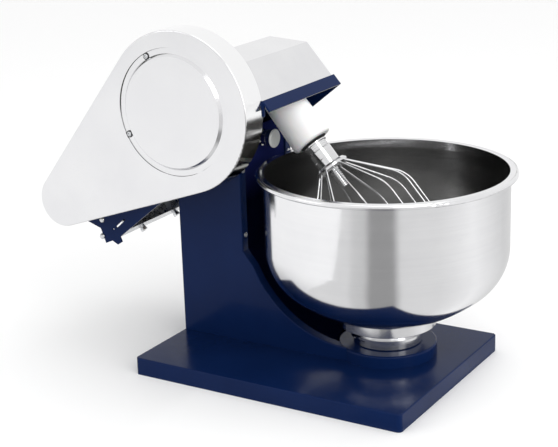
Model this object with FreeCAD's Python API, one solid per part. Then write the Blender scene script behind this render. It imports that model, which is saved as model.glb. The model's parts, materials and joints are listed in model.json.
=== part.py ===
import FreeCAD, Part
import math
import os

# Bench mixer with an inclined tool and a free-turning bowl, in millimetres.
# The base frame has X towards the bowl, Y away from the belt guard and Z up, with z = 0 on the worktop
# and x = y = 0 at the middle of the base plate. The arm frame has its origin on the tilt pivot, X along
# the arm towards its nose, Y as above from the machine's middle plane, and Z square to the arm.
V = FreeCAD.Vector
PARTS = "parts"

# Base tray, which stands on its folded-in lower flange
BASE_L, BASE_W, BASE_TOP = 400.0, 298.0, 24.0
SHEET = 3.0
FLANGE_W = 14.0

# Column, drawn about the machine's middle plane MID_Y
MID_Y = 29.2
COL_REAR, COL_FRONT = -200.0, -97.0
COL_Y, COL_HALF = 37.6, 67.2
FOLD_W = 14.0
COL_KINK_Z = 154.0
COL_TOP_Z = 326.0
EDGE_R = 1.6
TOE_CX, TOE_CZ, TOE_R = 62.0, 199.4, 157.1
TOE_START_X = -81.0
GLAND_Z = 60.0
CLAMP_Z = 301.0
KNOB_L = 21.0
SWITCH_X, SWITCH_Z = -150.0, 188.0
FRONT_SCREW_Z = (176.0, 266.0)
STOP_R = 5.0

# Bowl, turntable and pedestal
BOWL_X = 92.2
RIM_R, RIM_Z, BEAD_R = 170.8, 277.7, 3.3
WALL_R, BOWL_T = 161.0, 1.5
KNUCKLE_R, KNUCKLE_Z = 76.3, 175.8
CAP_LEAN = math.radians(50.5)
PEDESTAL_R, PEDESTAL_TOP = 66.4, 40.6
TABLE_R, TABLE_TOP = 46.0, 52.4
COLLAR_R, COLLAR_Z = 65.6, 66.0
LUGS = 4
LUG_HALF = 7.0
SPINDLE_R = 10.0
RUN = 0.05  # radial running clearance
GAP = 0.3  # clearance between pieces that move past each other

# Arm: tilt of its rest pose, and the pivot's place
TILT = 41.0
PIVOT_X, PIVOT_Z = -180.0, 262.0
ARM_HALF = 93.5
PLATE = 2.5
NOSE = 184.0
LIP_LOW, LIP_HIGH = -26.4, -9.5
NEAR_NOSE_B = -15.0
HEAD_TOP = 92.0
CHAMFER = 43.0
COVER_T = 1.5
COVER_REAR = -92.0
COVER_HALF = ARM_HALF - PLATE - 0.1
VENTS = 6
FLOOR_B = 12.0
PIVOT_R = 8.0
QUADRANT_R = 60.0
TENSION_A = -134.0
TENSION_Y = (-50.0, 30.0)
LOCK_NUT = 3.3
COVER_HOLES = [(-60.0, 19.0), (20.0, 19.0)]
FLOOR_HOLES = [(74.0, 0.0), (100.0, 0.0)]

# Drive: belt pulleys, guard and gears
PULLEY_A, PULLEY_B = 90.0, 50.3
MOTOR_A, MOTOR_B = -156.0, 73.4
PULLEY_R, PINION_PULLEY_R = 76.0, 19.0
BELT_T, BELT_W = 4.5, 16.0
GUARD_A, GUARD_B = 90.5, 47.9
GUARD_R, GUARD_END_R, GUARD_DEPTH = 108.0, 36.8, 40.0
GUARD_T = 2.0
DOOR_A, DOOR_B, DOOR_R = 87.3, 51.4, 84.8
DOOR_SCREWS = (77.0, 165.0)
DOOR_TABS = (77.0, 165.0, 255.0, 345.0)
BELT_Y = -112.0
MOTOR_R, MOTOR_LENGTH = 45.0, 150.0
FINS = 20
CASE_REAR, CASE_NOSE, CASE_LOW, CASE_HIGH = 64.0, 179.0, 12.0, 79.0
CASE_SLOPE = 33.0
CASE_Y = (-60.0, 34.0)
TOOL_A = 150.0
BEVEL_MODULE_1, BEVEL_MODULE_2 = 1.5, 1.4
TEETH = {"pinion_1": 20, "gear_1": 30, "pinion_2": 16, "gear_2": 32}

# Tool: levels along the tool axis
HOUSING_TOP, HOUSING_LOW = 12.0, -77.0
HOUSING_R_TOP, HOUSING_R_LOW = 25.5, 28.5
FLANGE_R, FLANGE_B = 17.0, -80.5
NECK_R, NECK_GROOVE = 14.8, 13.6
SLEEVE_R, SLEEVE_BORE, SLEEVE_TOP = 16.0, 13.0, -91.5
NOTCH, NOTCH_H = (-160.0, -60.0), 10.6
HUB_R, HUB_B = 24.0, -118.0
CORE_R, CORE_END = 7.0, -151.0
WIRE_R, WIRE_LOOPS = 1.2, 6
CAGE_R, SHOULDER_B, CAGE_LOW = 77.0, -183.0, -337.0
SHOULDER_BEND = 16.0
WIRE_TURN = 8.0


def box(x0, x1, y0, y1, z0, z1):
    return Part.makeBox(x1 - x0, y1 - y0, z1 - z0, V(x0, y0, z0))


def rod(start, axis, r, length):
    return Part.makeCylinder(r, length, V(*start), V(*axis))


def ring(start, axis, r_out, r_in, length):
    return rod(start, axis, r_out, length).cut(rod(start, axis, r_in, length))


def face_xz(edges, y):
    """Face from edges drawn in the XZ plane, moved to the given Y."""
    face = Part.Face(Part.Wire(edges))
    face.translate(V(0, y, 0))
    return face


def slab(edges, y0, y1):
    return face_xz(edges, y0).extrude(V(0, y1 - y0, 0))


def outline(points):
    """Closed straight-sided outline in the XZ plane."""
    corners = [V(a, 0, b) for a, b in points]
    return [line(p, q) for p, q in zip(corners, corners[1:] + corners[:1])]


def plate(points, y0, y1):
    return slab(outline(points), y0, y1)


def line(p, q):
    return Part.LineSegment(p, q).toShape()


def arc(p, mid, q):
    return Part.Arc(p, mid, q).toShape()


def polar(cx, cz, r, degrees):
    t = math.radians(degrees)
    return V(cx + r * math.cos(t), 0, cz + r * math.sin(t))


def turned(points, centre=(0.0, 0.0)):
    """Solid of revolution about a vertical axis, from (radius, height) points."""
    wire = Part.makePolygon([V(centre[0] + r, centre[1], z) for r, z in points + points[:1]])
    return Part.Face(wire).revolve(V(centre[0], centre[1], 0), V(0, 0, 1), 360)


def turned_on_y(points, a, b):
    """Solid of revolution about the Y direction through (a, b), from (radius, y) points."""
    solid = turned(points)
    solid.rotate(V(0, 0, 0), V(1, 0, 0), -90)
    solid.translate(V(a, 0, b))
    return solid


def turned_on_tool(points):
    """Solid of revolution about the tool axis, in the arm frame."""
    return turned(points, (TOOL_A, 0.0))


def teardrop(inset=0.0):
    """Outline round both pulleys: two arcs and the two tangents that join them."""
    return two_circle_loop(GUARD_A, GUARD_B, GUARD_R - inset, GUARD_END_R - inset)


def two_circle_loop(a, b, big, small):
    """Closed loop round a big circle at (a, b) and a small one on the motor's axis."""
    da, db = a - MOTOR_A, b - MOTOR_B
    along = math.degrees(math.atan2(db, da))
    lean = math.degrees(math.acos(-(big - small) / math.hypot(da, db)))
    top_big = polar(a, b, big, along + lean)
    low_big = polar(a, b, big, along - lean)
    top_small = polar(MOTOR_A, MOTOR_B, small, along + lean)
    low_small = polar(MOTOR_A, MOTOR_B, small, along - lean)
    return [
        line(top_small, top_big),
        arc(top_big, polar(a, b, big, along), low_big),
        line(low_big, low_small),
        arc(low_small, polar(MOTOR_A, MOTOR_B, small, along + 180), top_small),
    ]


def fuse(shapes):
    joined = shapes[0]
    for shape in shapes[1:]:
        joined = joined.fuse(shape)
    return joined.removeSplitter()


def hex_bolt(start, axis, flats, head, r, length):
    """Hexagon-head bolt: the head runs back from start, the shank runs along axis."""
    corner = flats / math.sqrt(3)
    turns = [k * math.pi / 3 for k in range(7)]
    points = [V(corner * math.cos(t), corner * math.sin(t), 0) for t in turns]
    body = Part.Face(Part.makePolygon(points)).extrude(V(0, 0, -head))
    body = body.fuse(Part.makeCylinder(r, length))
    return place_on(body.removeSplitter(), start, axis)


def pan_screw(start, axis, head_r, head, r, length):
    """Pan-head screw with a cross recess, head behind start and shank along axis."""
    cap = Part.makeCylinder(head_r, head, V(0, 0, -head))
    rim = [e for e in cap.Edges if abs(e.BoundBox.ZMax + head) < 1e-6 and e.BoundBox.XLength > head_r]
    cap = cap.makeFillet(0.45 * head, rim)
    slot = 0.22 * head_r
    for half_x, half_y in ((0.62 * head_r, slot), (slot, 0.62 * head_r)):
        cap = cap.cut(box(-half_x, half_x, -half_y, half_y, -head - 1, -0.55 * head))
    return place_on(cap.fuse(Part.makeCylinder(r, length)).removeSplitter(), start, axis)


def place_on(shape, start, axis):
    """Moves a shape drawn along +Z from the origin to start, pointing along axis."""
    shape.Placement = FreeCAD.Placement(V(*start), FreeCAD.Rotation(V(0, 0, 1), V(*axis)))
    return shape


def group(shapes):
    return Part.makeCompound(shapes)


# ---------------------------------------------------------------- base and column

def base_tray():
    """Folded steel tray, open below inside its standing flange, with a hole for the bearing housing."""
    half_l, half_w = BASE_L / 2, BASE_W / 2
    outer = box(-half_l, half_l, -half_w, half_w, 0, BASE_TOP)
    outer = outer.makeFillet(6.0, [e for e in outer.Edges if e.BoundBox.ZLength > BASE_TOP - 1])
    outer = outer.makeFillet(1.5, [e for e in outer.Edges if e.BoundBox.ZMin > BASE_TOP - 0.1])
    tray = outer.cut(rounded_block(SHEET, SHEET, BASE_TOP - SHEET))
    tray = tray.cut(rounded_block(FLANGE_W, -1.0, SHEET + 1))
    return tray.cut(rod((BOWL_X, MID_Y, 0), (0, 0, 1), 32.0, BASE_TOP + 1)).removeSplitter()


def rounded_block(inset, z0, z1):
    """Block with rounded corners, inset from the base tray's outline."""
    half_l, half_w = BASE_L / 2 - inset, BASE_W / 2 - inset
    block = box(-half_l, half_l, -half_w, half_w, z0, z1)
    return block.makeFillet(3.5, [e for e in block.Edges if e.BoundBox.ZLength > z1 - z0 - 0.1])


def front_edge(inset):
    """Corner points of the column's front, moved inwards: kink, start of the toe arc, end of the toe arc."""
    r = TOE_R + inset
    start_angle = 180 + math.degrees(math.acos((TOE_CX - TOE_START_X) / TOE_R))
    kink = V(COL_FRONT - inset, 0, COL_KINK_Z - 0.5 * inset)
    angles = (start_angle, (start_angle + 270) / 2, 270)
    return [kink] + [polar(TOE_CX, TOE_CZ, r, angle) for angle in angles]


def front_strip(inset, top):
    """Closed outline of one sheet thickness that follows the column's front at an inset."""
    outer, inner = front_edge(inset), front_edge(inset + SHEET)
    top_out, top_in = V(outer[0].x, 0, top), V(inner[0].x, 0, top)
    return [
        line(top_out, outer[0]),
        line(outer[0], outer[1]),
        arc(outer[1], outer[2], outer[3]),
        line(outer[3], inner[3]),
        arc(inner[3], inner[2], inner[1]),
        line(inner[1], inner[0]),
        line(inner[0], top_in),
        line(top_in, top_out),
    ]


def column_side(side):
    """Side plate: rounded over the pivot, sloping to the front, with a long curved toe under the bowl."""
    y_out = COL_Y + side * COL_HALF
    y0 = min(y_out, y_out - side * SHEET)
    kink, start, mid, end = front_edge(0.0)
    round_r = PIVOT_X - COL_REAR
    front_top = V(COL_FRONT, 0, COL_TOP_Z)
    reach = math.hypot(COL_FRONT - PIVOT_X, COL_TOP_Z - PIVOT_Z)
    rise = math.degrees(math.atan2(COL_TOP_Z - PIVOT_Z, COL_FRONT - PIVOT_X))
    tangent = rise + math.degrees(math.acos(round_r / reach))
    over = polar(PIVOT_X, PIVOT_Z, round_r, tangent)
    rear = V(COL_REAR, 0, PIVOT_Z)
    foot_rear, foot_front = V(COL_REAR, 0, BASE_TOP), V(end.x, 0, BASE_TOP)
    edges = [
        line(foot_rear, rear),
        arc(rear, polar(PIVOT_X, PIVOT_Z, round_r, (180 + tangent) / 2), over),
        line(over, front_top),
        line(front_top, kink),
        line(kink, start),
        arc(start, mid, end),
        line(end, foot_front),
        line(foot_front, foot_rear),
    ]
    plate_side = slab(edges, y0, y0 + SHEET)
    softened = []
    for edge in plate_side.Edges:
        bounds = edge.BoundBox
        if bounds.YLength < 0.01 and abs(bounds.YMin - y_out) < 0.01 and bounds.ZMax > BASE_TOP + 5:
            if bounds.ZLength < 100 or bounds.XMin > COL_REAR + 1:
                softened.append(edge)
    plate_side = plate_side.makeFillet(EDGE_R, softened)
    y_fold = y_out - side * SHEET
    fold_0, fold_1 = sorted((y_fold, y_fold - side * (FOLD_W - SHEET)))
    plate_side = plate_side.fuse(slab(front_strip(0.0, COL_TOP_Z - 8), fold_0, fold_1)).removeSplitter()
    plate_side = plate_side.cut(rod((BOWL_X, MID_Y, 0), (0, 0, 1), PEDESTAL_R, 100))
    for y, z in front_screw_places():
        plate_side = plate_side.cut(rod((COL_FRONT - 10, y, z), (1, 0, 0), 2.0, 20))
    return plate_side.cut(rod((PIVOT_X, y0 - 1, PIVOT_Z), (0, 1, 0), 12.0, SHEET + 2))


def column_front():
    """Curved front sheet behind the folded edges of the side plates, closed at the toe."""
    y0, y1 = COL_Y - COL_HALF + SHEET, COL_Y + COL_HALF - SHEET
    end = front_edge(SHEET)[3]
    sheet = slab(front_strip(SHEET, COL_TOP_Z - 8), y0, y1)
    sheet = sheet.fuse(box(end.x - SHEET, end.x, y0, y1, BASE_TOP, end.z)).removeSplitter()
    sheet = sheet.cut(rod((BOWL_X, MID_Y, 0), (0, 0, 1), PEDESTAL_R, 100))
    for screw in front_screw_places():
        sheet = sheet.cut(rod((COL_FRONT - 10, screw[0], screw[1]), (1, 0, 0), 2.0, 20))
    return sheet.cut(rod((COL_FRONT - 20, MID_Y, CLAMP_Z), (1, 0, 0), 6.0, 30))


def front_screw_places():
    inside = COL_HALF - FOLD_W / 2 - 1.0
    return [(COL_Y + side * inside, z) for side in (-1, 1) for z in FRONT_SCREW_Z]


def front_screws():
    """Pan screws that hold the front sheet to the folded edges of the side plates."""
    places = front_screw_places()
    return group([pan_screw((COL_FRONT, y, z), (-1, 0, 0), 3.4, 1.6, 2.0, 8.0) for y, z in places])


def column_rear():
    """Rear sheet with the hole for the cable gland."""
    inside = COL_HALF - SHEET
    sheet = box(COL_REAR, COL_REAR + SHEET, COL_Y - inside, COL_Y + inside, BASE_TOP, 240.0)
    return sheet.cut(rod((COL_REAR - 1, MID_Y, GLAND_Z), (1, 0, 0), 8.0, SHEET + 2))


def cable_gland():
    """Screwed cable gland: domed cap outside, thread through the sheet and lock nut inside."""
    x = COL_REAR
    body = turned([
        (4.2, -6.5), (8.0, -6.5), (8.0, 0.0), (11.0, 0.0), (11.0, 4.5), (9.5, 5.5), (9.5, 13.0), (7.0, 17.0),
        (4.2, 17.0),
    ])
    nut = ring((0, 0, -6.5), (0, 0, 1), 11.0, 8.0, 3.0)
    return place_on(body.fuse(nut).removeSplitter(), (x, MID_Y, GLAND_Z), (-1, 0, 0))


def pedestal():
    """Painted pedestal disc with its bearing housing, which reaches down through the base plate."""
    profile = [
        (21.0, 10.0), (28.0, 10.0), (31.5, 14.0), (31.5, BASE_TOP), (PEDESTAL_R, BASE_TOP),
        (PEDESTAL_R, PEDESTAL_TOP), (21.0, PEDESTAL_TOP),
    ]
    disc = turned(profile, (BOWL_X, MID_Y))
    top = [e for e in disc.Edges if e.BoundBox.ZMin > PEDESTAL_TOP - 0.1]
    return disc.makeFillet(2.5, [e for e in top if e.BoundBox.XLength > 2 * PEDESTAL_R - 1])


def bowl_bearings():
    """Two ball-bearing outlines in the pedestal."""
    return group([bearing((BOWL_X, MID_Y, z), (0, 0, 1), 21.0, SPINDLE_R, 9.0) for z in (11.0, 29.5)])


def bearing(start, axis, r_out, r_shaft, width):
    """Bearing with its shield recessed on both faces; its bore runs on the shaft with a small clearance."""
    r_in = r_shaft + RUN
    step = 0.28 * (r_out - r_in)
    body = turned([
        (r_in, 0), (r_in + step, 0), (r_in + step, 0.6), (r_out - step, 0.6), (r_out - step, 0), (r_out, 0),
        (r_out, width), (r_out - step, width), (r_out - step, width - 0.6), (r_in + step, width - 0.6),
        (r_in + step, width), (r_in, width),
    ])
    return place_on(body, start, axis)


def pivot_bushes():
    """Flanged bronze bushes in the column's side plates, long enough to space the arm's plates."""
    bushes = []
    for side in (-1, 1):
        inner_face = COL_Y + side * (COL_HALF - SHEET - 6)
        y_out = MID_Y + side * (ARM_HALF - PLATE - GAP)
        y_flange = COL_Y + side * COL_HALF
        out, bore, length = (0, side, 0), PIVOT_R + RUN, abs(y_out - inner_face)
        long = ring((PIVOT_X, inner_face, PIVOT_Z), out, 12.0, bore, length)
        collar = ring((PIVOT_X, y_flange, PIVOT_Z), out, 16.0, bore, abs(y_out - y_flange) - 8)
        bushes.append(long.fuse(collar).removeSplitter())
    return group(bushes)


def clamp_bush():
    """Threaded bush behind the front sheet that carries the clamp screw, with its flange in front."""
    x_sheet = COL_FRONT - SHEET
    tube = ring((x_sheet - 27, MID_Y, CLAMP_Z), (1, 0, 0), 10.0, 5.0 + RUN, 24.0)
    neck = ring((x_sheet - 3, MID_Y, CLAMP_Z), (1, 0, 0), 6.0, 5.0 + RUN, 3.0)
    return tube.fuse(neck).removeSplitter()


def clamp_screw():
    """Clamp screw with a pad end that bears on the tilt quadrant."""
    screw = rod((-126.0, MID_Y, CLAMP_Z), (1, 0, 0), 5.0, 29.0)
    return screw.fuse(rod((-129.0, MID_Y, CLAMP_Z), (1, 0, 0), 3.0, 4.0)).removeSplitter()


def clamp_knob():
    """Turned steel knob body with a waist and knurl-like flutes."""
    x0 = COL_FRONT - SHEET + 0.5
    body = turned([
        (5.0, 0), (10.8, 0), (11.4, 0.8), (11.4, 5.0), (9.8, 6.4), (9.8, 10.5), (11.2, 12.0), (11.2, KNOB_L),
        (0, KNOB_L), (0, 13.0), (5.0, 13.0),
    ])
    for k in range(24):
        angle = k * math.pi / 12
        body = body.cut(Part.makeCylinder(0.8, 6.0, V(11.6 * math.cos(angle), 11.6 * math.sin(angle), 13.5)))
    body = body.cut(Part.makeCylinder(5.0, 13.0))
    return place_on(body, (x0, MID_Y, CLAMP_Z), (1, 0, 0))


def knob_cap():
    """Pale face insert on the knob, with a shallow pointer groove."""
    x0 = COL_FRONT - SHEET + 0.5 + KNOB_L
    cap = turned([(0, 0), (12.2, 0), (12.8, 0.8), (12.8, 2.2), (11.8, 3.4), (0, 3.4)])
    cap = cap.cut(box(1.0, 9.5, -1.1, 1.1, 2.6, 4.0))
    return place_on(cap, (x0, MID_Y, CLAMP_Z), (1, 0, 0))


def switch_body():
    """Rotary power switch, clamped inside the far side plate."""
    y = COL_Y + COL_HALF - SHEET
    block = box(SWITCH_X - 16, SWITCH_X + 16, y - 34, y, SWITCH_Z - 16, SWITCH_Z + 16)
    bezel = rod((SWITCH_X, y + SHEET, SWITCH_Z), (0, 1, 0), 17.0, 2.0)
    neck = rod((SWITCH_X, y, SWITCH_Z), (0, 1, 0), 11.0, SHEET)
    return fuse([block, neck, bezel]).cut(rod((SWITCH_X, y - 10, SWITCH_Z), (0, 1, 0), 3.0 + RUN, 20))


def switch_knob():
    """Switch knob: round skirt, raised finger bar and its spindle."""
    y = COL_Y + COL_HALF + 2.0 + GAP
    skirt = turned([(0, 0), (14.0, 0), (14.0, 3.0), (12.5, 4.5), (0, 4.5)])
    bar = box(-3.5, 3.5, -12.5, 12.5, 4.0, 15.0)
    bar = bar.makeFillet(1.6, [e for e in bar.Edges if e.BoundBox.ZMax > 14.9])
    knob = skirt.fuse(bar).fuse(Part.makeCylinder(3.0, 9.0, V(0, 0, -9.0))).removeSplitter()
    return place_on(knob, (SWITCH_X, y, SWITCH_Z), (0, 1, 0))


# ---------------------------------------------------------------- bowl

def bowl():
    """Spun bowl: spherical bottom, large knuckle, straight wall and a rolled rim bead."""
    knuckle_c = V(BOWL_X + WALL_R - KNUCKLE_R, MID_Y, KNUCKLE_Z)
    tangent = -CAP_LEAN
    cap_r, cap_z = bowl_cap()
    bead_z = RIM_Z - BEAD_R
    inner_edges, outer_edges = [], []
    for inset, edges in ((0.0, outer_edges), (BOWL_T, inner_edges)):
        cap, knuckle = cap_r - inset, KNUCKLE_R - inset
        bottom = V(BOWL_X, MID_Y, cap_z - cap)
        joint = V(knuckle_c.x + knuckle * math.cos(tangent), MID_Y, KNUCKLE_Z + knuckle * math.sin(tangent))
        half = (tangent - math.pi / 2) / 2
        cap_mid = V(BOWL_X + cap * math.cos(half), MID_Y, cap_z + cap * math.sin(half))
        quarter = tangent / 2
        over, down = knuckle * math.cos(quarter), knuckle * math.sin(quarter)
        knuckle_mid = V(knuckle_c.x + over, MID_Y, KNUCKLE_Z + down)
        side = V(BOWL_X + WALL_R - inset, MID_Y, KNUCKLE_Z)
        rim = V(BOWL_X + WALL_R - inset, MID_Y, RIM_Z - 1.0)
        edges += [arc(bottom, cap_mid, joint), arc(joint, knuckle_mid, side), line(side, rim)]
        edges.append((bottom, rim))
    (out_bottom, out_rim), (in_bottom, in_rim) = outer_edges.pop(), inner_edges.pop()
    edges = outer_edges + inner_edges + [line(out_bottom, in_bottom), line(out_rim, in_rim)]
    wire = Part.Wire(Part.__sortEdges__(edges))
    shell = Part.Face(wire).revolve(V(BOWL_X, MID_Y, 0), V(0, 0, 1), 360)
    bead = Part.makeTorus(RIM_R - BEAD_R, BEAD_R, V(BOWL_X, MID_Y, bead_z))
    ledge = ring((BOWL_X, MID_Y, RIM_Z - 2.0), (0, 0, 1), RIM_R - BEAD_R, WALL_R - BOWL_T, 1.7)
    return shell.fuse(bead).fuse(ledge).removeSplitter()


def bowl_cap():
    """Radius and centre height of the bowl's spherical bottom, tangent to the knuckle."""
    reach = WALL_R - KNUCKLE_R
    return reach / math.cos(CAP_LEAN) + KNUCKLE_R, KNUCKLE_Z + reach * math.tan(CAP_LEAN)


def bowl_bottom_z(r):
    """Height of the bowl's outer surface at radius r, on its spherical bottom."""
    cap_r, cap_z = bowl_cap()
    return cap_z - math.sqrt(cap_r ** 2 - r ** 2)


def bowl_collar():
    """Foot collar under the bowl, with a neck and bayonet lugs that drop into the turntable."""
    ball_r, ball_z = bowl_cap()
    profile = [
        (COLLAR_R, bowl_bottom_z(COLLAR_R)), (COLLAR_R, COLLAR_Z + 0.8), (COLLAR_R - 0.8, COLLAR_Z),
        (44.0, COLLAR_Z - 2.0), (44.0, TABLE_TOP + 3.0), (49.5, TABLE_TOP + 3.0), (49.5, TABLE_TOP),
        (36.0, TABLE_TOP), (36.0, bowl_bottom_z(36.0)), (46.0, bowl_bottom_z(46.0)),
        (56.0, bowl_bottom_z(56.0)),
    ]
    collar = turned(profile, (BOWL_X, MID_Y))
    collar = collar.cut(Part.makeSphere(ball_r, V(BOWL_X, MID_Y, ball_z)))
    for k in range(LUGS):
        collar = collar.fuse(lug(k, 49.5, 36.0, TABLE_TOP - 2.4, TABLE_TOP + 0.7, LUG_HALF))
    return collar.removeSplitter()


def lug(k, r_out, r_in, z0, z1, half):
    """Sector-shaped block number k round the bowl's axis, between two radii."""
    block = box(BOWL_X, BOWL_X + 60, MID_Y - half, MID_Y + half, z0, z1)
    block.rotate(V(BOWL_X, MID_Y, 0), V(0, 0, 1), 45 + k * 360 / LUGS)
    return block.common(ring((BOWL_X, MID_Y, z0), (0, 0, 1), r_out, r_in, z1 - z0))


def turntable():
    """Stainless turntable ring with a notch for each of the bowl's lugs and a hub on the spindle."""
    z0 = PEDESTAL_TOP + GAP
    profile = [
        (SPINDLE_R, z0), (TABLE_R - 1, z0), (TABLE_R, z0 + 1), (TABLE_R, TABLE_TOP - 1),
        (TABLE_R - 1, TABLE_TOP), (SPINDLE_R, TABLE_TOP),
    ]
    table = turned(profile, (BOWL_X, MID_Y))
    for k in range(LUGS):
        table = table.cut(lug(k, TABLE_R + 5, 35.5, TABLE_TOP - 2.5, TABLE_TOP + 1, LUG_HALF + 1.0))
    return table


def spindle():
    """Spindle that carries the turntable in the pedestal's two bearings, with a nut below."""
    profile = [(0, 7.0), (8.0, 7.0), (SPINDLE_R, 9.0), (SPINDLE_R, TABLE_TOP), (0, TABLE_TOP)]
    shaft = turned(profile, (BOWL_X, MID_Y))
    return shaft.cut(rod((BOWL_X, MID_Y, TABLE_TOP - 6), (0, 0, 1), 3.0, 10))


# ---------------------------------------------------------------- arm structure (arm frame)

def arm_plate(side):
    """Arm side plate; the near one rises round the motor's shaft, both have the stepped rear corner."""
    y0 = -ARM_HALF if side < 0 else ARM_HALF - PLATE
    nose = NOSE - PLATE
    corner = [(nose, LIP_LOW)] if side > 0 else [(nose, NEAR_NOSE_B), (172.0, LIP_LOW + 0.4)]
    low = corner + [
        (-142.0, -12.2), (-144.5, -19.5), (-153.0, -18.3), (-157.0, -8.7), (-169.2, -4.9), (-161.5, 16.1),
    ]
    front = [(118.0, 24.0), (160.0, LIP_HIGH), (nose, LIP_HIGH)]
    if side > 0:
        edges = outline(low + [(-150.0, 30.0), (-118.0, 30.0), (-100.0, 24.0)] + front)
    else:
        lobe = 35.0
        start, end = polar(MOTOR_A, MOTOR_B, lobe, 195), polar(MOTOR_A, MOTOR_B, lobe, 50)
        points = [V(a, 0, b) for a, b in low] + [start]
        after = [end] + [V(a, 0, b) for a, b in [(-70.0, 24.0)] + front + corner[:1]]
        edges = [line(p, q) for p, q in zip(points, points[1:])]
        edges.append(arc(start, polar(MOTOR_A, MOTOR_B, lobe, 122), end))
        edges += [line(p, q) for p, q in zip(after, after[1:])]
    shape = slab(edges, y0, y0 + PLATE)
    cuts = [rod((0, y0 - 1, 0), (0, 1, 0), PIVOT_R, PLATE + 2)]
    cuts.append(box(-137.4, -116.1, y0 - 1, y0 + PLATE + 1, 0.2, 2.8))
    cuts.append(rod((-143.6, y0 - 1, 2.4), (0, 1, 0), 1.5, PLATE + 2))
    if side < 0:
        cuts.append(rod((MOTOR_A, y0 - 1, MOTOR_B), (0, 1, 0), 14.0, PLATE + 2))
        cuts += [rod((a, y0 - 1, b), (0, 1, 0), 2.6, PLATE + 2) for a, b in motor_bolt_places()]
    for cut in cuts:
        shape = shape.cut(cut)
    return shape


def motor_bolt_places():
    return [(p.x, p.z) for p in (polar(MOTOR_A, MOTOR_B, 26.0, 45 + 90 * k) for k in range(4))]


def front_lip():
    """Painted lip across the nose, in front of the cover's lower edge."""
    lip = box(NOSE - PLATE, NOSE, -ARM_HALF, ARM_HALF, LIP_LOW, LIP_HIGH)
    return lip.makeFillet(0.8, [e for e in lip.Edges if e.BoundBox.XMin > NOSE - 0.1])


def cross_member():
    """Angle that ties the two arm plates behind the column, under the motor."""
    inside = ARM_HALF - PLATE
    flat = box(-141.0, -122.0, -inside, 53.0, -12.6, -9.6)
    corner = [e for e in flat.Edges if e.BoundBox.YMin > 52.0 and e.BoundBox.XMax < -130.0]
    flat = flat.makeFillet(13.0, [e for e in corner if e.BoundBox.ZLength > 2.9])
    upright = box(-125.0, -122.0, -inside, inside, -12.6, 8.0)
    angle = flat.fuse(upright).removeSplitter()
    for y in TENSION_Y:
        angle = angle.cut(rod((TENSION_A, y, -20), (0, 0, 1), 3.0, 20))
    return angle


def tension_bolts():
    """Jacking bolts that push the motor's foot up to tension the belt, with lock nuts."""
    bolts = []
    for y in TENSION_Y:
        bolt = hex_bolt((TENSION_A, y, -12.6 - LOCK_NUT), (0, 0, 1), 9.0, 4.0, 3.0, 42.4 + LOCK_NUT)
        nut = rod((TENSION_A, y, -12.6 - LOCK_NUT), (0, 0, 1), 4.2, LOCK_NUT)
        bolts.append(bolt.fuse(nut).removeSplitter())
    return group(bolts)


def head_cover():
    """Folded sheet cover over the head: front, chamfer, top, both sides and rear."""
    def shell(inset):
        nose, top = NOSE - PLATE - 0.2 - inset, HEAD_TOP - inset
        rear = COVER_REAR + inset
        cut = CHAMFER - 0.414 * inset
        low, skirt = 14.0, -14.0 - 3 * inset
        points = [
            (rear, low), (124.0, low), (152.0, skirt), (nose, skirt), (nose, top - cut), (nose - cut, top),
            (rear, top),
        ]
        return plate(points, -COVER_HALF + inset, COVER_HALF - inset)
    outer = shell(0.0)
    folds = [e for e in outer.Edges if e.BoundBox.YLength > 100 and e.BoundBox.ZMin > 30]
    outer = outer.makeFillet(2.0, folds)
    hollow = shell(COVER_T)
    below = box(COVER_REAR + COVER_T, 152.0, -COVER_HALF + COVER_T, COVER_HALF - COVER_T, -40.0, 40.0)
    cover = outer.cut(hollow).cut(below)
    cover = cover.cut(rod((PULLEY_A, -ARM_HALF, PULLEY_B), (0, 1, 0), 24.0, 20.0))
    for k in range(VENTS):
        b = 38.0 + k * 8.0
        cover = cover.cut(box(COVER_REAR - 1, COVER_REAR + COVER_T + 1, -55.0, 55.0, b, b + 3.0))
    return cover


def head_floor():
    """Cross floor under the gear case, with its ends folded up along the arm plates."""
    half = ARM_HALF - PLATE
    floor = box(62.0, 122.0, -half, half, FLOOR_B - 3.0, FLOOR_B)
    for side in (-1, 1):
        y0, y1 = sorted((side * half, side * (half - 1.6)))
        floor = floor.fuse(box(62.0, 112.0, y0, y1, -6.0, FLOOR_B))
    return floor.removeSplitter()


def arm_screws():
    """Pan screws: four for the cover's sides and four for the cross floor's ends."""
    screws = []
    for side in (-1, 1):
        for a, b in COVER_HOLES + FLOOR_HOLES:
            screws.append(pan_screw((a, side * ARM_HALF, b), (0, -side, 0), 4.0, 1.9, 2.0, 7.0))
    return group(screws)


def screw_holes(solid, places):
    """Drills the arm screws' shank holes through a solid, along Y."""
    for a, b in places:
        solid = solid.cut(rod((a, -ARM_HALF - 5, b), (0, 1, 0), 2.0, 2 * ARM_HALF + 10))
    return solid


# ---------------------------------------------------------------- drive (arm frame)

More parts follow.
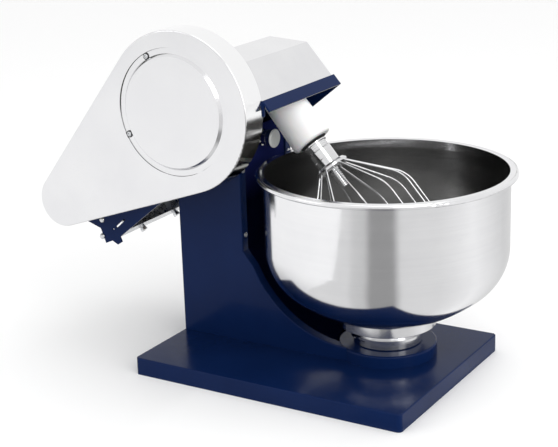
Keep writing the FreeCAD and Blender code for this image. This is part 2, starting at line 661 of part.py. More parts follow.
def motor_body():
    """Motor frame: flanged near end, finned barrel and the foot that the jacking bolts bear on."""
    y0 = -ARM_HALF + PLATE
    skin, bore, end = MOTOR_R - 4, MOTOR_R - 8, y0 + MOTOR_LENGTH
    profile = [
        (13.0, y0), (33.0, y0), (33.0, y0 + 3), (skin, y0 + 6), (skin, end), (bore, end), (bore, y0 + 12),
        (13.0, y0 + 8),
    ]
    barrel = turned_on_y(profile, MOTOR_A, MOTOR_B)
    for k in range(FINS):
        fin = box(MOTOR_R - 5, MOTOR_R, y0 + 12, y0 + MOTOR_LENGTH - 4, -1.0, 1.0)
        fin.rotate(V(0, 0, 0), V(0, 1, 0), k * 360 / FINS)
        fin.translate(V(MOTOR_A, 0, MOTOR_B))
        barrel = barrel.fuse(fin)
    foot = box(TENSION_A - 7, TENSION_A + 7, -58.0, 38.0, 29.8, 46.0)
    hollow = rod((MOTOR_A, -60.0, MOTOR_B), (0, 1, 0), MOTOR_R - 4, 120.0)
    body = barrel.fuse(foot.cut(hollow)).removeSplitter()
    for a, b in motor_bolt_places():
        body = body.cut(rod((a, y0 - 1, b), (0, 1, 0), 2.5, 8.0))
    return body


def motor_cap():
    """Pressed fan cowl with a ring of air slots in its end."""
    y0 = -ARM_HALF + PLATE + MOTOR_LENGTH
    r = MOTOR_R - 1
    outside = [(0, y0), (r, y0), (r, y0 + 22), (r - 7, y0 + 28), (0, y0 + 28)]
    inside = [(0, y0 - 1), (r - 2, y0 - 1), (r - 2, y0 + 20), (r - 8, y0 + 26), (0, y0 + 26)]
    cowl = turned_on_y(outside, MOTOR_A, MOTOR_B).cut(turned_on_y(inside, MOTOR_A, MOTOR_B))
    for k in range(16):
        slot = box(12.0, 31.0, y0 + 24, y0 + 30, -1.6, 1.6)
        slot.rotate(V(0, 0, 0), V(0, 1, 0), k * 22.5)
        slot.translate(V(MOTOR_A, 0, MOTOR_B))
        cowl = cowl.cut(slot)
    return cowl


def motor_screws():
    heads = [(a, -ARM_HALF - GUARD_T, b) for a, b in motor_bolt_places()]
    return group([pan_screw(head, (0, 1, 0), 4.2, 2.8, 2.5, 11.0) for head in heads])


def motor_stator():
    y0 = -ARM_HALF + PLATE + 26
    return ring((MOTOR_A, y0, MOTOR_B), (0, 1, 0), MOTOR_R - 8, 24.0, 76.0)


def motor_bearings():
    y0 = -ARM_HALF + PLATE
    near = bearing((MOTOR_A, y0, MOTOR_B), (0, 1, 0), 13.0, 6.0, 8.0)
    y1 = y0 + MOTOR_LENGTH - 10
    far = bearing((MOTOR_A, y1, MOTOR_B), (0, 1, 0), 13.0, 6.0, 8.0)
    bridge = ring((MOTOR_A, y1, MOTOR_B), (0, 1, 0), MOTOR_R - 8, 13.0, 8.0)
    return group([near, far.fuse(bridge).removeSplitter()])


def motor_rotor():
    """Rotor core on its shaft, with the fan at the far end."""
    y0 = -ARM_HALF + PLATE
    shaft = rod((MOTOR_A, -124.0, MOTOR_B), (0, 1, 0), 6.0, y0 + MOTOR_LENGTH + 20 + 124.0)
    core = rod((MOTOR_A, y0 + 28, MOTOR_B), (0, 1, 0), 23.5, 72.0)
    fan = rod((MOTOR_A, y0 + MOTOR_LENGTH + 2, MOTOR_B), (0, 1, 0), 12.0, 12.0)
    rotor = fuse([shaft, core, fan])
    for k in range(8):
        blade = box(8.0, 34.0, y0 + MOTOR_LENGTH + 2, y0 + MOTOR_LENGTH + 14, -0.9, 0.9)
        blade.rotate(V(0, 0, 0), V(0, 1, 0), k * 45.0)
        blade.translate(V(MOTOR_A, 0, MOTOR_B))
        rotor = rotor.fuse(blade)
    return rotor.removeSplitter()


def flat_pulley(a, b, r, bore, hub_r, web):
    """Belt pulley with shallow side flanges, a web and a hub."""
    half = BELT_W / 2 + 1.0
    y0, y1 = BELT_Y - half, BELT_Y + half
    rim = 6.0 if r > 40 else r - bore
    groove = [(r + 2, y0 - 1.5), (r + 2, y0), (r, y0), (r, y1), (r + 2, y1), (r + 2, y1 + 1.5)]
    if r <= 40:
        return turned_on_y([(bore, y0 - 1.5)] + groove + [(bore, y1 + 1.5)], a, b)
    near = [(bore, y0), (hub_r, y0), (hub_r, BELT_Y - web), (r - rim, BELT_Y - web), (r - rim, y0 - 1.5)]
    far = [(r - rim, y1 + 1.5), (r - rim, BELT_Y + web), (hub_r, BELT_Y + web), (hub_r, y1), (bore, y1)]
    return turned_on_y(near + groove + far, a, b)


def drive_pulley():
    """Large belt pulley, lightened by round holes through its web."""
    wheel = flat_pulley(PULLEY_A, PULLEY_B, PULLEY_R, 9.0, 20.0, 3.0)
    for k in range(6):
        p = polar(PULLEY_A, PULLEY_B, 45.0, 60 * k)
        wheel = wheel.cut(rod((p.x, BELT_Y - 20, p.z), (0, 1, 0), 14.0, 40))
    return wheel


def motor_pulley():
    return flat_pulley(MOTOR_A, MOTOR_B, PINION_PULLEY_R, 6.0, 12.0, 3.0)


def belt():
    """Flat drive belt round both pulleys, just clear of their rims."""
    outer = two_circle_loop(PULLEY_A, PULLEY_B, PULLEY_R + GAP + BELT_T, PINION_PULLEY_R + GAP + BELT_T)
    inner = two_circle_loop(PULLEY_A, PULLEY_B, PULLEY_R + GAP, PINION_PULLEY_R + GAP)
    y0, y1 = BELT_Y - BELT_W / 2, BELT_Y + BELT_W / 2
    return slab(outer, y0, y1).cut(slab(inner, y0, y1))


def guard_shell():
    """Teardrop belt guard: flat face with a round opening, and a rim that reaches back to the arm."""
    y0 = -ARM_HALF - GUARD_DEPTH
    outer = slab(teardrop(), y0, -ARM_HALF)
    outer = outer.makeFillet(1.8, [e for e in outer.Edges if e.BoundBox.YMax < y0 + 0.1])
    hollow = slab(teardrop(GUARD_T), y0 + GUARD_T, -ARM_HALF)
    shell = outer.cut(hollow).cut(rod((DOOR_A, y0 - 1, DOOR_B), (0, 1, 0), DOOR_R, 10))
    for angle in DOOR_TABS:
        tab = rod_at_door(angle, 91.0, 7.0, GUARD_T, 3.2).fuse(rod_at_door(angle, 82.0, 6.0, 3.2, 2.0))
        tab = tab.cut(rod((DOOR_A, y0 - 1, DOOR_B), (0, 1, 0), DOOR_R, 4.2))
        shell = shell.fuse(tab)
    for angle in DOOR_SCREWS:
        shell = shell.cut(rod_at_door(angle, 80.5, 1.7, 0.0, 10.0))
    return shell.removeSplitter()


def guard_back():
    """Back plate of the guard, screwed to the near arm plate."""
    back = slab(teardrop(GUARD_T + 0.2), -ARM_HALF - GUARD_T, -ARM_HALF)
    back = back.cut(rod((PULLEY_A, -ARM_HALF - 5, PULLEY_B), (0, 1, 0), 20.5, 10))
    back = back.cut(rod((MOTOR_A, -ARM_HALF - 5, MOTOR_B), (0, 1, 0), 14.0, 10))
    back = back.cut(rod((0, -ARM_HALF - 5, 0), (0, 1, 0), 14.0, 10))
    for a, b in motor_bolt_places():
        back = back.cut(rod((a, -ARM_HALF - 5, b), (0, 1, 0), 2.6, 10))
    for a, b in COVER_HOLES + FLOOR_HOLES:
        back = back.cut(rod((a, -ARM_HALF - 5, b), (0, 1, 0), 4.4, 10))
    return back


def guard_door():
    """Round inspection lid: a flat flange in the opening and a raised middle with a sloping flank."""
    y = -ARM_HALF - GUARD_DEPTH
    edge = DOOR_R - 0.4
    profile = [
        (0, y - 2.0), (73.5, y - 2.0), (77.0, y + 1.6), (edge, y + 1.6), (edge, y + 3.2), (76.0, y + 3.2),
        (72.5, y - 0.4), (0, y - 0.4),
    ]
    door = turned_on_y(profile, DOOR_A, DOOR_B)
    for angle in DOOR_SCREWS:
        door = door.cut(rod_at_door(angle, 80.5, 1.7, -5.0, 20.0))
    return door


def rod_at_door(angle, radius, r, depth, length):
    """Cylinder along Y at a polar place round the lid's centre, measured in from the guard's face."""
    p = polar(DOOR_A, DOOR_B, radius, angle)
    return rod((p.x, -ARM_HALF - GUARD_DEPTH + depth, p.z), (0, 1, 0), r, length)


def guard_screws():
    """The lid's two visible screws."""
    y = -ARM_HALF - GUARD_DEPTH + 1.6
    places = [polar(DOOR_A, DOOR_B, 80.5, angle) for angle in DOOR_SCREWS]
    return group([pan_screw((p.x, y, p.z), (0, 1, 0), 3.4, 2.2, 1.7, 7.0) for p in places])


def bevel(n, mate_n, module, face, bore, back):
    """Straight bevel gear on +Z with its cone's apex at the origin; a tooth is centred on +X.

    The teeth are straight-sided, and every section is the back one shrunk towards the apex."""
    r, h = module * n / 2, module * mate_n / 2
    cone = math.hypot(r, h)
    spread = h / cone
    pitch = math.pi * module
    pressure = math.tan(math.radians(22))

    def section(k):
        points = []
        for i in range(n):
            middle = 2 * math.pi * i / n
            for height, sign in ((-1.15, -1), (0.85, -1), (0.85, 1), (-1.15, 1)):
                radius = r + height * module / spread
                half = (0.215 * pitch - height * module * pressure) / r
                angle = middle + sign * half
                points.append(V(k * radius * math.cos(angle), k * radius * math.sin(angle), k * h))
        return Part.makePolygon(points + points[:1])

    gear = Part.makeLoft([section(1.0), section(1 - face / cone)], True, True)
    root = r - 1.15 * module / spread
    hub = Part.makeCylinder(root, back, V(0, 0, h))
    gear = gear.fuse(hub)
    return gear.cut(Part.makeCylinder(bore, 200, V(0, 0, -50))).removeSplitter()


def on_axis(shape, apex, axis, turn):
    """Turns a gear by a fraction of a tooth, then points its +Z along axis from the apex."""
    shape.rotate(V(0, 0, 0), V(0, 0, 1), turn)
    x_to = {
        (0, -1, 0): V(1, 0, 0),
        (-1, 0, 0): V(0, 0, -1),
        (1, 0, 0): V(0, -1, 0),
        (0, 0, -1): V(-1, 0, 0),
    }[axis]
    z_to = V(*axis)
    rotation = FreeCAD.Rotation(x_to, z_to.cross(x_to), z_to, "ZXY")
    shape.Placement = FreeCAD.Placement(V(*apex), rotation).multiply(shape.Placement)
    return shape


APEX_1 = (PULLEY_A, 0.0, PULLEY_B)
APEX_2 = (TOOL_A, 0.0, PULLEY_B)


def bevel_pinion_1():
    gear = bevel(TEETH["pinion_1"], TEETH["gear_1"], BEVEL_MODULE_1, 8.0, 7.0, 5.0)
    return on_axis(gear, APEX_1, (0, -1, 0), 0.0)


def bevel_gear_1():
    gear = bevel(TEETH["gear_1"], TEETH["pinion_1"], BEVEL_MODULE_1, 8.0, 5.0, 4.0)
    return on_axis(gear, APEX_1, (1, 0, 0), 180.0 / TEETH["gear_1"])


def bevel_pinion_2():
    gear = bevel(TEETH["pinion_2"], TEETH["gear_2"], BEVEL_MODULE_2, 8.0, 5.0, 1.0)
    return on_axis(gear, APEX_2, (-1, 0, 0), 0.0)


def bevel_gear_2():
    gear = bevel(TEETH["gear_2"], TEETH["pinion_2"], BEVEL_MODULE_2, 8.0, 8.0, 6.0)
    return on_axis(gear, APEX_2, (0, 0, -1), 180.0 / TEETH["gear_2"])


def pulley_shaft():
    """Stepped shaft from the big pulley to the first bevel pinion."""
    h = BEVEL_MODULE_1 * TEETH["gear_1"] / 2
    back = -(h + 5.0)
    thick = rod((PULLEY_A, -124.0, PULLEY_B), (0, 1, 0), 9.0, back + 124.0)
    thin = rod((PULLEY_A, back, PULLEY_B), (0, 1, 0), 7.0, 9.0)
    return thick.fuse(thin).removeSplitter()


def layshaft():
    """Short shaft between the two bevel pairs."""
    start = PULLEY_A + BEVEL_MODULE_1 * TEETH["pinion_1"] / 2 - 3.0
    end = TOOL_A - BEVEL_MODULE_2 * TEETH["gear_2"] / 2 + 5.0
    return rod((start, 0, PULLEY_B), (1, 0, 0), 5.0, end - start)


def tool_shaft():
    """Output shaft from the second bevel gear down through the housing to the drive sleeve."""
    top = PULLEY_B - BEVEL_MODULE_2 * TEETH["pinion_2"] / 2 + 2.0
    return rod((TOOL_A, 0, -100.0), (0, 0, 1), 8.0, top + 100.0)


def case_block():
    """Outside of the closed gear case, sloped behind the nose."""
    points = [
        (CASE_REAR, CASE_LOW), (CASE_NOSE, CASE_LOW), (CASE_NOSE, CASE_HIGH - CASE_SLOPE),
        (CASE_NOSE - CASE_SLOPE, CASE_HIGH), (CASE_REAR, CASE_HIGH),
    ]
    return plate(points, CASE_Y[0], CASE_Y[1])


def gear_case():
    """Cast gear case, open on top under its lid, with bearing seats for the three shafts."""
    y0, y1 = CASE_Y
    low = box(CASE_REAR, CASE_NOSE, y0, y1, CASE_LOW, PULLEY_B + 20)
    case = low.common(case_block())
    hollow = box(71.0, 176.0, y0 + 16, y1 - 5, 24.0, 100.0)
    neck = box(112.5, 122.5, y0 + 16, y1 - 5, 24.0, 100.0)
    case = case.cut(hollow.cut(neck))
    case = case.cut(rod((PULLEY_A, y0 - 1, PULLEY_B), (0, 1, 0), 17.0, 20))
    case = case.cut(rod((112.0, 0, PULLEY_B), (1, 0, 0), 11.0, 12))
    case = case.cut(rod((TOOL_A, 0, 10.0), (0, 0, 1), 20.0, 16))
    nose = ring((PULLEY_A, -ARM_HALF, PULLEY_B), (0, 1, 0), 20.0, 17.0, ARM_HALF + y0)
    return case.fuse(nose).removeSplitter()


def gear_case_lid():
    """Lid of the gear case, following the slope behind the nose."""
    y0, y1 = CASE_Y
    lid = case_block().cut(box(0, 200, y0 - 1, y1 + 1, 0, PULLEY_B + 20))
    hollow = box(69.0, 143.0, y0 + 8, y1 - 5, 0, PULLEY_B + 25.5)
    return lid.cut(hollow)


def gear_bearings():
    """Bearings of the pulley shaft, the layshaft and the tool shaft."""
    return group([
        bearing((PULLEY_A, -ARM_HALF + 1, PULLEY_B), (0, 1, 0), 17.0, 9.0, 10.0),
        bearing((PULLEY_A, CASE_Y[0] + 4, PULLEY_B), (0, 1, 0), 17.0, 9.0, 10.0),
        bearing((113.0, 0, PULLEY_B), (1, 0, 0), 11.0, 5.0, 9.0),
        bearing((TOOL_A, 0, 13.0), (0, 0, 1), 20.0, 8.0, 10.0),
        bearing((TOOL_A, 0, -62.0), (0, 0, 1), 20.0, 8.0, 10.0),
    ])


def tilt_quadrant():
    """Sector fixed to the pivot shaft; the clamp screw bears on its rim to hold the arm's tilt."""
    first, last = -44.0, 11.0
    centre = V(0, 0, 0)
    p, q = polar(0, 0, QUADRANT_R, first), polar(0, 0, QUADRANT_R, last)
    rim = arc(p, polar(0, 0, QUADRANT_R, (first + last) / 2), q)
    sector = slab([line(centre, p), rim, line(q, centre)], -4.0, 4.0)
    hub = rod((0, -12.0, 0), (0, 1, 0), 14.0, 24.0)
    quadrant = sector.fuse(hub).cut(rod((0, -20, 0), (0, 1, 0), PIVOT_R, 40))
    return quadrant.fuse(box(50.0, 80.0, -14.0, 14.0, FLOOR_B - 7.0, FLOOR_B - 3.0)).removeSplitter()


def stop_bar():
    """Bar across the column that the quadrant's lower edge rests on when the arm is down."""
    lean = math.radians(-44.0 + TILT) - math.asin((STOP_R + GAP) / 46.0)
    x, z = PIVOT_X + 46.0 * math.cos(lean), PIVOT_Z + 46.0 * math.sin(lean)
    return rod((x, COL_Y - COL_HALF + SHEET, z), (0, 1, 0), STOP_R, 2 * (COL_HALF - SHEET))


def pivot_shaft():
    reach = ARM_HALF + GUARD_T + 5
    return rod((0, -reach, 0), (0, 1, 0), PIVOT_R, 2 * reach)


def pivot_nuts():
    """Nut on each end of the pivot shaft, outside the arm plates."""
    nuts = []
    for side in (-1, 1):
        y = side * ARM_HALF
        nut = hex_bolt((0, 0, 0), (0, 0, 1), 20.0, 7.0, PIVOT_R, 1.0)
        nut = nut.cut(Part.makeCylinder(PIVOT_R, 20, V(0, 0, -10)))
        nuts.append(place_on(nut, (0, y, 0), (0, -side, 0)))
    return group(nuts)


# ---------------------------------------------------------------- tool (arm frame)

def tool_housing():
    """White moulded housing round the tool shaft, with a rounded lower edge."""
    profile = [
        (20.0, HOUSING_TOP), (HOUSING_R_TOP, HOUSING_TOP), (HOUSING_R_LOW, HOUSING_LOW), (18.0, HOUSING_LOW),
        (18.0, -66.0), (20.0, -62.0), (20.0, -52.0), (15.0, -52.0), (15.0, 2.0), (20.0, 2.0),
    ]
    body = turned_on_tool(profile)
    low = [e for e in body.Edges if abs(e.BoundBox.ZMax - HOUSING_LOW) < 0.01]
    return body.makeFillet(4.5, [e for e in low if e.BoundBox.XLength > 2 * HOUSING_R_LOW - 1])


def tool_seal():
    """Dark lip seal below the housing."""
    bore, lip = 8.0 + RUN, HOUSING_LOW - 1.6
    profile = [
        (bore, -70.0), (18.0, -70.0), (18.0, HOUSING_LOW), (19.5, HOUSING_LOW), (19.5, HOUSING_LOW - 1),
        (18.0, lip), (bore, lip),
    ]
    return turned_on_tool(profile)


def notch_sector(r_in, r_out, low, high, inset):
    """Ring sector round the tool axis, in the sleeve's bayonet notch."""
    first, last = NOTCH[0] + inset, NOTCH[1] - inset
    sector = Part.makeCylinder(r_out, high - low, V(0, 0, low), V(0, 0, 1), last - first)
    sector = sector.cut(Part.makeCylinder(r_in, high - low, V(0, 0, low)))
    sector.rotate(V(0, 0, 0), V(0, 0, 1), first)
    sector.translate(V(TOOL_A, 0, 0))
    return sector


def drive_sleeve():
    """Drive sleeve: thin flange, ringed neck and the notched socket that takes the tool."""
    b = FLANGE_B
    top, low = SLEEVE_TOP, HUB_B + 3.2
    profile = [(8.0, b + 0.8), (15.5, b + 0.8), (FLANGE_R, b), (FLANGE_R, b - 1.6), (FLANGE_R - 1, b - 2.4)]
    ring_h = (b - 2.4 - top) / 3
    for k in range(3):
        start = b - 2.4 - k * ring_h
        profile += [(NECK_R, start), (NECK_R, start - 0.6 * ring_h), (NECK_GROOVE, start - 0.65 * ring_h)]
        profile.append((NECK_GROOVE, start - ring_h))
    profile += [(SLEEVE_R - 0.8, top), (SLEEVE_R, top - 0.8), (SLEEVE_R, low), (SLEEVE_BORE, low)]
    profile += [(SLEEVE_BORE, -101.5), (8.0, -101.5)]
    sleeve = turned_on_tool(profile)
    return sleeve.cut(notch_sector(SLEEVE_BORE - 1.0, SLEEVE_R + 1.0, low - 1.0, low + NOTCH_H, 0.0))


def core_grooves():
    """Profile of the grooved core rod below the hub, downwards."""
    profile = [(CORE_R, HUB_B - 6)]
    grooves = 8
    step = (HUB_B - 8 - CORE_END) / grooves
    for k in range(grooves):
        b = HUB_B - 8 - k * step
        floor = CORE_R - 0.7
        profile += [(CORE_R, b), (floor, b - 0.3 * step), (floor, b - 0.6 * step), (CORE_R, b - 0.8 * step)]
    return profile + [(CORE_R - 1, CORE_END), (0, CORE_END)]


def whisk_hub():
    """Whisk hub: drilled disc that holds the wires, its shank, its core and the lug in the sleeve's notch."""
    profile = [
        (0, -102.0), (11.5, -102.0), (SLEEVE_BORE - RUN, -103.5), (SLEEVE_BORE - RUN, HUB_B + 3),
        (HUB_R - 3, HUB_B + 3), (HUB_R, HUB_B), (HUB_R, HUB_B - 3), (HUB_R - 4, HUB_B - 6),
    ] + core_grooves()
    lug = notch_sector(SLEEVE_BORE - 2.0, SLEEVE_R - 0.1, HUB_B + 2.0, HUB_B + 3.2 + NOTCH_H - 1.2, 1.5)
    hub = turned_on_tool(profile).fuse(lug).removeSplitter()
    for k in range(WIRE_LOOPS):
        for socket in wire_sockets(k):
            hub = hub.cut(socket)
    return hub


def wire_sockets(k):
    """Sockets in the hub for both legs of loop k, drilled along the wire's first straight."""
    root, shoulder = V(HUB_R - 4.0, 0, HUB_B - 2.0), V(CAGE_R, 0, SHOULDER_B)
    sockets = []
    for half in (0, 180):
        hole = Part.makeCylinder(WIRE_R, 30.0, root, shoulder - root)
        hole.rotate(V(0, 0, 0), V(0, 0, 1), k * 180.0 / WIRE_LOOPS + half + WIRE_TURN)
        hole.translate(V(TOOL_A, 0, 0))
        sockets.append(hole)
    return sockets


def whisk_wires():
    """Closed wire loops: straight splay, round shoulder, straight side and round end, nested at the tip."""
    wires = []
    for k in range(WIRE_LOOPS):
        low = CAGE_LOW + k * (2 * WIRE_R + 0.5)
        root, shoulder = V(HUB_R - 4.0, 0, HUB_B - 2.0), V(CAGE_R, 0, SHOULDER_B)
        turn = V(CAGE_R, 0, low + CAGE_R)
        first = (root - shoulder).normalize()
        bend = SHOULDER_BEND
        p = shoulder + first * bend
        q = shoulder - V(0, 0, bend)
        middle = (first + V(0, 0, -1)).normalize()
        open_angle = math.acos(first.dot(V(0, 0, -1))) / 2
        radius = bend * math.tan(open_angle)
        centre = shoulder + middle * (bend / math.cos(open_angle))
        mid = centre - middle * radius
        legs = [line(root, p), arc(p, mid, q), line(q, turn)]
        tip = V(0, 0, low)
        across = CAGE_R * math.sin(math.pi / 4)
        legs.append(arc(turn, V(across, 0, low + CAGE_R - across), tip))
        path = Part.Wire(legs)
        section = Part.Wire(Part.makeCircle(WIRE_R, root, root - p))
        leg = path.makePipeShell([section], True, False)
        other = leg.mirror(V(0, 0, 0), V(1, 0, 0))
        loop = leg.fuse(other).removeSplitter()
        loop.rotate(V(0, 0, 0), V(0, 0, 1), k * 180.0 / WIRE_LOOPS + WIRE_TURN)
        loop.translate(V(TOOL_A, 0, 0))
        wires.append(loop)
    return group(wires)


# ---------------------------------------------------------------- assembly

ARM_PLACE = FreeCAD.Placement(V(PIVOT_X, MID_Y, PIVOT_Z), FreeCAD.Rotation(V(0, 1, 0), -TILT))


def save(name, shape, in_arm):
    shape = shape.copy()
    if in_arm:
        shape.Placement = ARM_PLACE.multiply(shape.Placement)
    if not shape.isValid():
        print("invalid", name)
    shape.exportStep(os.path.join(PARTS, name + ".step"))


def main():
    os.makedirs("parts", exist_ok=True)
    switch_hole = rod((SWITCH_X, COL_Y, SWITCH_Z), (0, 1, 0), 11.0, 80)
    fixed = {
        "base_tray": base_tray(),
        "stop_bar": stop_bar(),
        "column_side_near": column_side(-1),
        "column_side_far": column_side(1).cut(switch_hole),
        "column_front": column_front(),
        "column_rear": column_rear(),
        "front_screws": front_screws(),
        "pedestal": pedestal(),
        "bowl_bearings": bowl_bearings(),
        "pivot_bushes": pivot_bushes(),
        "cable_gland": cable_gland(),
        "clamp_bush": clamp_bush(),
        "clamp_screw": clamp_screw(),
        "clamp_knob": clamp_knob(),
        "clamp_knob_cap": knob_cap(),
        "switch_body": switch_body(),
        "switch_knob": switch_knob(),
        "bowl": bowl(),
        "bowl_collar": bowl_collar(),
        "turntable": turntable(),
        "turntable_spindle": spindle(),
    }
    arm = {
        "arm_plate_near": screw_holes(arm_plate(-1), COVER_HOLES + FLOOR_HOLES),
        "arm_plate_far": screw_holes(arm_plate(1), COVER_HOLES + FLOOR_HOLES),
        "front_lip": front_lip(),
        "cross_member": cross_member(),
        "tension_bolts": tension_bolts(),
        "head_cover": screw_holes(head_cover(), COVER_HOLES),
        "head_floor": screw_holes(head_floor(), FLOOR_HOLES),
        "arm_screws": arm_screws(),
        "tilt_quadrant": tilt_quadrant(),
        "pivot_shaft": pivot_shaft(),
        "pivot_nuts": pivot_nuts(),
        "motor_body": motor_body(),
        "motor_fan_cowl": motor_cap(),
        "motor_screws": motor_screws(),
        "motor_stator": motor_stator(),
        "motor_bearings": motor_bearings(),
        "motor_rotor": motor_rotor(),
        "motor_pulley": motor_pulley(),
        "drive_belt": belt(),
        "drive_pulley": drive_pulley(),
        "pulley_shaft": pulley_shaft(),
        "guard_shell": guard_shell(),
        "guard_back": guard_back(),
        "guard_door": guard_door(),
        "guard_screws": guard_screws(),
        "gear_case": gear_case(),
        "gear_case_lid": gear_case_lid(),
        "gear_bearings": gear_bearings(),
        "bevel_pinion_1": bevel_pinion_1(),
        "bevel_gear_1": bevel_gear_1(),
        "layshaft": layshaft(),
        "bevel_pinion_2": bevel_pinion_2(),
        "bevel_gear_2": bevel_gear_2(),
        "tool_shaft": tool_shaft(),
        "tool_housing": tool_housing(),
        "tool_seal": tool_seal(),
        "drive_sleeve": drive_sleeve(),
        "whisk_hub": whisk_hub(),
        "whisk_wires": whisk_wires(),
    }
    for name, shape in fixed.items():
        save(name, shape, False)
    for name, shape in arm.items():
        save(name, shape, True)
    print(len(fixed) + len(arm), "nodes")


main()
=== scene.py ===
import json
import math

import bmesh
import bpy
from mathutils import Matrix, Vector


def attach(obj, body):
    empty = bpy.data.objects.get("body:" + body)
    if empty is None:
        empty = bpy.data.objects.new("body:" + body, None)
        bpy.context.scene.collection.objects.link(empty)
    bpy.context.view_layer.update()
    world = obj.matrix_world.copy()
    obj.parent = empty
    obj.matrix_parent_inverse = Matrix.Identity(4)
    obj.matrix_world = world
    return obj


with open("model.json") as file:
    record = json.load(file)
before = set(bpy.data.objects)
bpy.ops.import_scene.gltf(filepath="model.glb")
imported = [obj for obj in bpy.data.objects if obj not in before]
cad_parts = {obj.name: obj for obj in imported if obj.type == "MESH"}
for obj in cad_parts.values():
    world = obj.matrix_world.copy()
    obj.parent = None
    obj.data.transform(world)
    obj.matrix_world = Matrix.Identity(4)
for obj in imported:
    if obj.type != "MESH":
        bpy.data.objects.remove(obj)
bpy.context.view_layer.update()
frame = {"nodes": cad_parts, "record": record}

# Looks for the bench mixer. Lengths are metres in the CAD frame: X towards the bowl, Y away from the belt
# guard, Z up. The arm has its own frame on the tilt pivot: a along the arm, b square to it.
NODES = frame["nodes"]

MID_Y = 0.0292
TILT = math.radians(41.0)
PIVOT = Vector((-0.180, MID_Y, 0.262))
ALONG = Vector((math.cos(TILT), 0.0, math.sin(TILT)))
UP = Vector((-math.sin(TILT), 0.0, math.cos(TILT)))
ACROSS = Vector((0.0, 1.0, 0.0))
TOWARDS_GUARD = Vector((0.0, -1.0, 0.0))
VERTICAL = Vector((0.0, 0.0, 1.0))
BOWL_AXIS = Vector((0.0922, MID_Y, 0.0))
KNOB_POINT = Vector((-0.1, MID_Y, 0.301))

# Arm frame, in millimetres: guard face, near arm plate, lid centre, lid screws and rear bolts
GUARD_FACE_Y = -133.5
NEAR_PLATE_Y = -93.5
DOOR_A, DOOR_B = 87.3, 51.4
LID_SCREW_R = 80.5
LID_SCREW_ANGLES = (77.0, 165.0)
LID_SCREW_DEPTH = 1.6
REAR_BOLTS = ((-167.0, 5.7), (-150.0, 23.4))


def in_arm(a, y, b):
    """Point of the arm frame, in millimetres, as a point of the row frame."""
    return PIVOT + ALONG * (a / 1000) + ACROSS * (y / 1000) + UP * (b / 1000)


TOOL_POINT = in_arm(150.0, 0.0, 0.0)
PULLEY_POINT = in_arm(90.0, 0.0, 50.3)
DOOR_POINT = in_arm(DOOR_A, 0.0, DOOR_B)


# ------------------------------------------------------------------ materials

